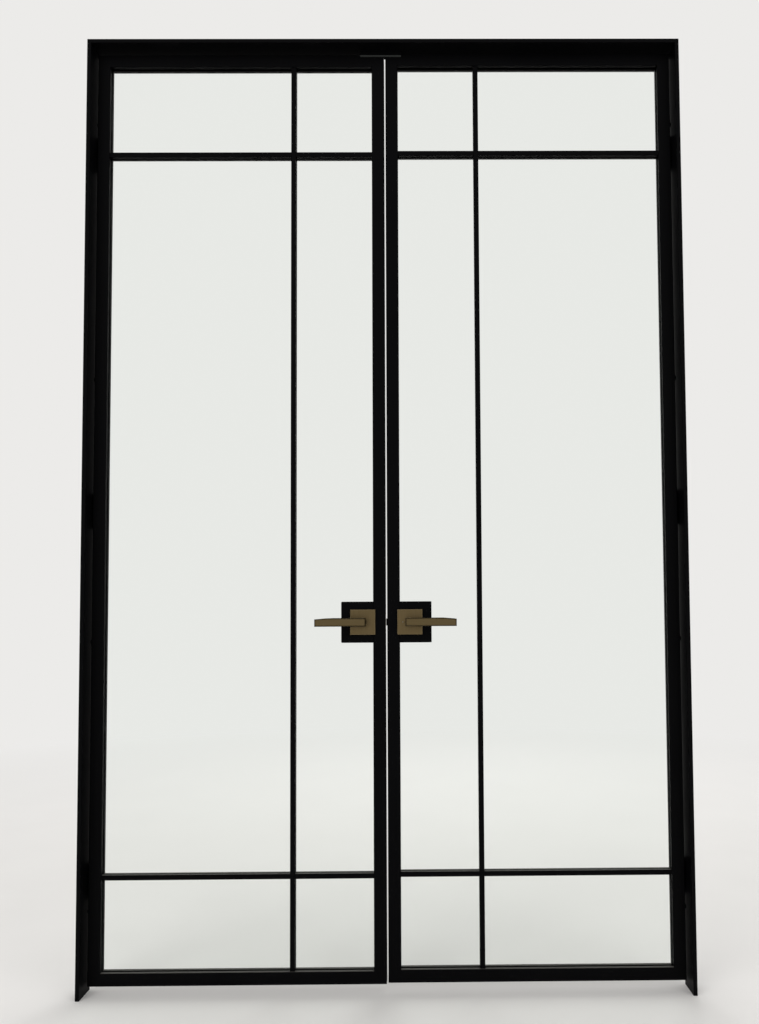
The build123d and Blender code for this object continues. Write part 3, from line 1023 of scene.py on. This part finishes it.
@dataclass
class LeverSet:
    """A rose and its lever on one side of a leaf, with the screw that holds the lever."""

    nodes: dict[str, bpy.types.Object]
    finishes: Finishes
    side: Side
    face: Face
    neck_radius: float = 10.45 * MM
    screw_stand: float = 0.3 * MM
    # The screw's distance from the rose's middle, along the neck.
    screw_offset: float = 12.5 * MM
    screw: SocketScrew = SocketScrew(
        rim_radius=1.9 * MM,
        socket_radius=1.15 * MM,
        socket_depth=0.28 * MM,
        steps=((2.1 * MM, 0.5 * MM),),
    )

    def build(self) -> None:
        """Dresses the rose and the lever and builds the lever's screw."""
        ending = f"{self.face.value}_{self.side.value}"
        dress(self.nodes, [f"rose_{ending}"], self.finishes.rose_brass)
        dress(self.nodes, [f"lever_{ending}"], self.finishes.lever_brass)
        below = -UP * (self.neck_radius + self.screw_stand)
        along = INWARD * self.face.way * self.screw_offset
        mesh = bmesh.new()
        self.screw.add(mesh, middle(f"rose_{ending}") + along + below, -UP)
        body = "lever_right" if self.side is Side.RIGHT else self.side.body
        name = f"lever_screw_{ending}"
        finish_piece(mesh, name, body, self.finishes.black_screw)


@dataclass
class LatchAndStrike:
    """The latch in the right leaf, the strike in the left one and the privacy button."""

    nodes: dict[str, bpy.types.Object]
    finishes: Finishes
    screw_pitch: float = 44 * MM
    screw: SocketScrew = SocketScrew(
        rim_radius=2.5 * MM,
        socket_radius=1.5 * MM,
        socket_depth=0.5 * MM,
        steps=((3.1 * MM, 0.3 * MM), (3.2 * MM, 0.25 * MM)),
    )
    button_stem_radius: float = 3 * MM
    button_collar_depth: float = 1.5 * MM
    button_crown: float = 0.5 * MM
    button_segments: int = 32

    def build(self) -> None:
        """Dresses the latch's nodes and builds the plates' screws and the crowned button."""
        brass = ["latch_faceplate", "strike_plate", "latch_bolt", "privacy_button"]
        dress(self.nodes, brass, self.finishes.rose_brass)
        dress(self.nodes, ["latch_case", "spindle"], self.finishes.zinc)
        self.build_plate_screws("latch_faceplate", Side.RIGHT)
        self.build_plate_screws("strike_plate", Side.LEFT)
        self.build_button()

    def build_plate_screws(self, plate: str, side: Side) -> None:
        """Builds the two raised screws of an edge plate.

        Args:
            plate: the plate's CAD node.
            side: the leaf that carries it.
        """
        low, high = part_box(plate)
        centre = (low + high) / 2
        centre.x = low.x if side is Side.RIGHT else high.x
        out = Vector((-side.way, 0, 0))
        stand = out * self.screw.height
        mesh = bmesh.new()
        for way in (-1, 1):
            self.screw.add(mesh, centre + stand + UP * way * self.screw_pitch / 2, out)
        name = f"{plate}_screws"
        finish_piece(mesh, name, side.body, self.finishes.rose_brass)

    def build_button(self) -> None:
        """Builds the privacy button with its collar and a crowned face."""
        low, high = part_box("privacy_button")
        centre = (low + high) / 2
        centre.y = 0
        collar_radius = (high.x - low.x) / 2
        collar_end = low.y + self.button_collar_depth
        stem_radius = self.button_stem_radius
        crown = self.button_crown
        profile = [
            (0.0, low.y),
            (collar_radius, low.y),
            (collar_radius, collar_end),
            (stem_radius, collar_end),
            (stem_radius, high.y - 2 * crown),
            (stem_radius - crown, high.y - crown / 2),
            (0.0, high.y),
        ]
        mesh = bmesh.new()
        verts = [mesh.verts.new(centre + Vector((out, along, 0))) for out, along in profile]
        edges = [mesh.edges.new(pair) for pair in zip(verts, verts[1:])]
        bmesh.ops.spin(
            mesh,
            geom=verts + edges,
            cent=centre,
            axis=INWARD,
            angle=math.tau,
            steps=self.button_segments,
            use_merge=True,
        )
        button = finish_piece(
            mesh,
            "crowned_privacy_button",
            "button_right",
            self.finishes.rose_brass,
        )
        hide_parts("privacy_button")


@dataclass(frozen=True)
class SoftLamp:
    """A square soft lamp that faces the doors' middle and isn't seen in glass or gloss."""

    # Places and the size are in metres, and the power is in watts.
    name: str
    place: tuple[float, float, float]
    power: float
    size: float = 3.0
    aim: tuple[float, float, float] = (0.0, 0.0, 1.2)

    def build(self) -> None:
        """Hangs the lamp."""
        light = bpy.data.lights.new(self.name, "AREA")
        light.size = self.size
        light.energy = self.power
        lamp = bpy.data.objects.new(self.name, light)
        lamp.location = self.place
        towards = Vector(self.aim) - lamp.location
        lamp.rotation_euler = towards.to_track_quat("-Z", "Y").to_euler()
        lamp.visible_camera = False
        lamp.visible_glossy = False
        lamp.visible_transmission = False
        bpy.context.scene.collection.objects.link(lamp)


@dataclass
class Studio:
    """The pale floor, the soft lamps and the backdrop, which is the world's own colour."""

    backdrop_colour: str = "#ecebe9"
    floor_colours: tuple[str, str] = ("#dddbd8", "#e3e1de")
    floor_roughness: float = 0.7
    floor_specular: float = 0.2
    floor_size: float = 60.0
    floor_segments: int = 8
    mottle_size: float = 0.33
    mottle_detail: float = 4.0
    # The floor turns into the backdrop between these distances from the origin, in metres.
    fade: tuple[float, float] = (1.6, 5.0)
    glow_colour: str = "#ffffff"
    backdrop_strength: float = 1.0
    world_strength: float = 0.75
    lamps: tuple[SoftLamp, ...] = (
        SoftLamp("key_lamp", (-2.6, -4.2, 3.6), 90.0),
        SoftLamp("fill_lamp", (3.2, -3.6, 2.4), 45.0),
        SoftLamp("back_lamp", (0.6, 4.0, 3.6), 90.0),
    )

    def build(self) -> None:
        """Builds the world, the floor and the lamps."""
        self.build_world()
        self.build_floor()
        for lamp in self.lamps:
            lamp.build()

    @staticmethod
    def seen_rays(tree: bpy.types.NodeTree) -> bpy.types.NodeSocket:
        """A value of 1 for rays that show the backdrop: from the camera, gloss or glass.

        Args:
            tree: the node tree that asks.

        Returns:
            The socket that holds the value.
        """
        path = add_node(tree, "LightPath").outputs
        seen = path["Is Camera Ray"]
        for ray in ("Is Glossy Ray", "Is Transmission Ray"):
            links = {0: seen, 1: path[ray]}
            seen = add_node(tree, "Math", {"operation": "MAXIMUM"}, links).outputs[0]
        return seen

    def build_world(self) -> None:
        """Lights the object softly from all sides and shows the backdrop behind it."""
        world = bpy.data.worlds.new("studio")
        bpy.context.scene.world = world
        world.use_nodes = True
        tree = world.node_tree
        tree.nodes.clear()
        glow, backdrop = (
            add_node(
                tree, "Background", {"Color": linear(colour), "Strength": strength}
            ).outputs["Background"]
            for colour, strength in (
                (self.glow_colour, self.world_strength),
                (self.backdrop_colour, self.backdrop_strength),
            )
        )
        both = mix_shaders(tree, self.seen_rays(tree), glow, backdrop)
        add_node(tree, "OutputWorld", links={"Surface": both})

    def floor_material(self) -> bpy.types.Material:
        """Makes the floor's material, which fades into the backdrop far from the doors."""
        recipe = Recipe("pale_sealed_floor")
        mottle = recipe.noise(self.mottle_size, self.mottle_detail)
        floor = recipe.shine(
            {"Roughness": self.floor_roughness, "Specular IOR Level": self.floor_specular},
            {"Base Color": recipe.blend(mottle, *self.floor_colours)},
        )
        settings = {
            "Color": linear(self.backdrop_colour),
            "Strength": self.backdrop_strength,
        }
        far_floor = add_node(recipe.tree, "Emission", settings).outputs["Emission"]
        distance = add_node(
            recipe.tree, "VectorMath", {"operation": "LENGTH"}, {0: recipe.place}
        ).outputs["Value"]
        far = recipe.spread(distance, (0.0, 1.0), self.fade)
        shown = recipe.join("MULTIPLY", far, self.seen_rays(recipe.tree))
        return recipe.close(mix_shaders(recipe.tree, shown, floor, far_floor))

    def build_floor(self) -> None:
        """Lays the floor, which keeps the doors' shadow."""
        mesh = bmesh.new()
        count = self.floor_segments
        size = self.floor_size / 2
        bmesh.ops.create_grid(mesh, x_segments=count, y_segments=count, size=size)
        piece = make_object(mesh, "studio_floor", self.floor_material())


@dataclass(frozen=True)
class PhotoCamera:
    """The camera of the photo, fitted to the lines of the doors and of the room behind."""

    place: tuple[float, float, float] = (95.4 * MM, -2229.2 * MM, 944.6 * MM)
    focal_px: float = 864.1
    image_px: tuple[float, float] = (759.0, 1024.0)
    # The photo is cropped: its lens looked at this point, right of its middle and below it.
    optical_centre_px: tuple[float, float] = (430.2, 573.7)
    sensor: float = 36.0
    clip_end: float = 100.0
    # The camera's turns, in degrees.
    pitch_up: float = 2.701
    turn_right: float = 0.448
    roll_right: float = 0.342

    def build(self) -> None:
        """Sets the camera up and makes it the scene's own."""
        data = bpy.data.cameras.new("photo_camera")
        width, height = self.image_px
        data.sensor_width = self.sensor
        data.lens = self.focal_px / height * self.sensor
        data.shift_x = (width / 2 - self.optical_centre_px[0]) / height
        data.shift_y = (self.optical_centre_px[1] - height / 2) / height
        data.clip_end = self.clip_end
        camera = bpy.data.objects.new("photo_camera", data)
        bpy.context.scene.collection.objects.link(camera)
        turn = Matrix.Rotation(math.radians(-self.turn_right), 4, "Z")
        lift = Matrix.Rotation(math.radians(90 + self.pitch_up), 4, "X")
        lean = Matrix.Rotation(math.radians(-self.roll_right), 4, "Z")
        camera.matrix_world = Matrix.Translation(Vector(self.place)) @ turn @ lift @ lean
        bpy.context.scene.camera = camera


def main() -> None:
    """Builds and dresses the doors, piece by piece, then the studio and the camera."""
    logging.basicConfig(level=logging.INFO, format="%(name)s: %(message)s")
    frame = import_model()
    bpy.context.scene.view_settings.view_transform = "Standard"
    nodes = frame["nodes"]
    finishes = Finishes()
    OuterFrame(nodes, finishes).build()
    log.info("outer frame built")
    for side in Side:
        Leaf(nodes, finishes, side).build()
        for level in Level:
            Hinge(nodes, finishes, side, level).build()
        for face in Face:
            LeverSet(nodes, finishes, side, face).build()
        log.info("%s leaf built", side.value)
    LatchAndStrike(nodes, finishes).build()
    log.info("latch and strike built")
    Studio().build()
    PhotoCamera().build()
    log.info("studio and camera built")


if __name__ == "__main__":
    main()
